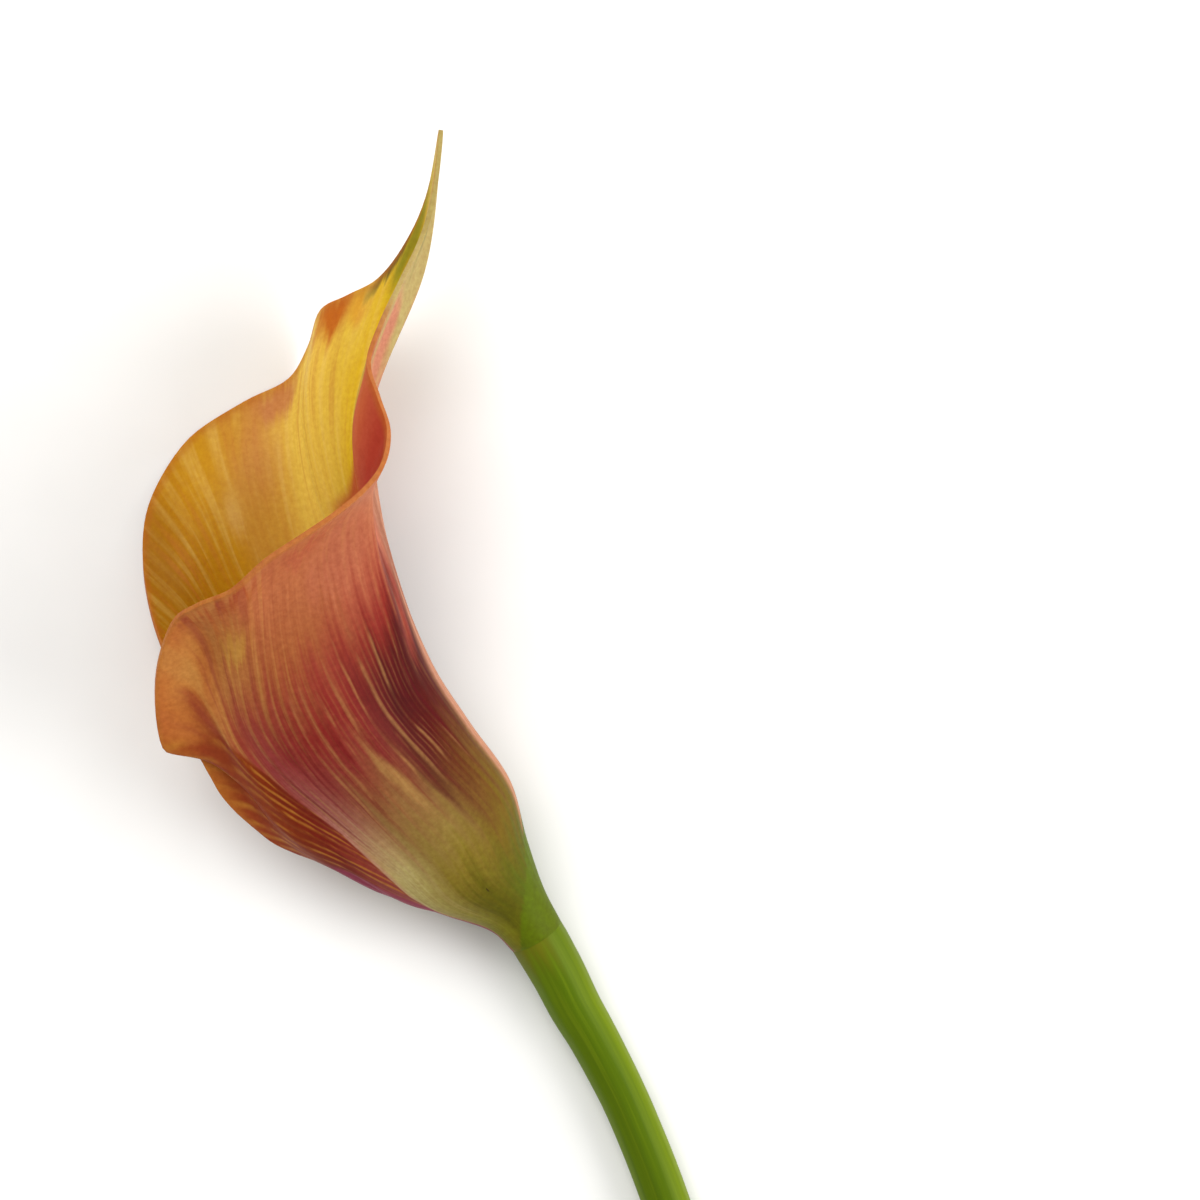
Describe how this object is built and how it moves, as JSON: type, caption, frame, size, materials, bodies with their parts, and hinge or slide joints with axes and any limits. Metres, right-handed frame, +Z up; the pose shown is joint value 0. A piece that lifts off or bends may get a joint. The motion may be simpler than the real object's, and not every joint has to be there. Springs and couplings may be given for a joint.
{
  "type": "arum lily flower",
  "caption": "Cut arum lily flower that lies on a surface: a rolled, flared spathe with a drawn-out tail, a finger-like spadix inside it, and a bare round stem.",
  "frame": {"origin": "on the surface the flower lies on, under the middle of its outline", "axes": "+Y from the cut end of the stem towards the tail of the spathe, +Z up from the surface, +X to the right as seen from above with the tail pointing away"},
  "size_m": [0.1166, 0.2879, 0.0462],
  "materials": {
    "spathe": "satin, waxy",
    "spadix": "matte, granular",
    "stem": "satin, waxy"
  },
  "bodies": {
    "root": {"spathe": "spathe", "spadix": "spadix", "stem": "stem"}
  },
  "joints": []
}
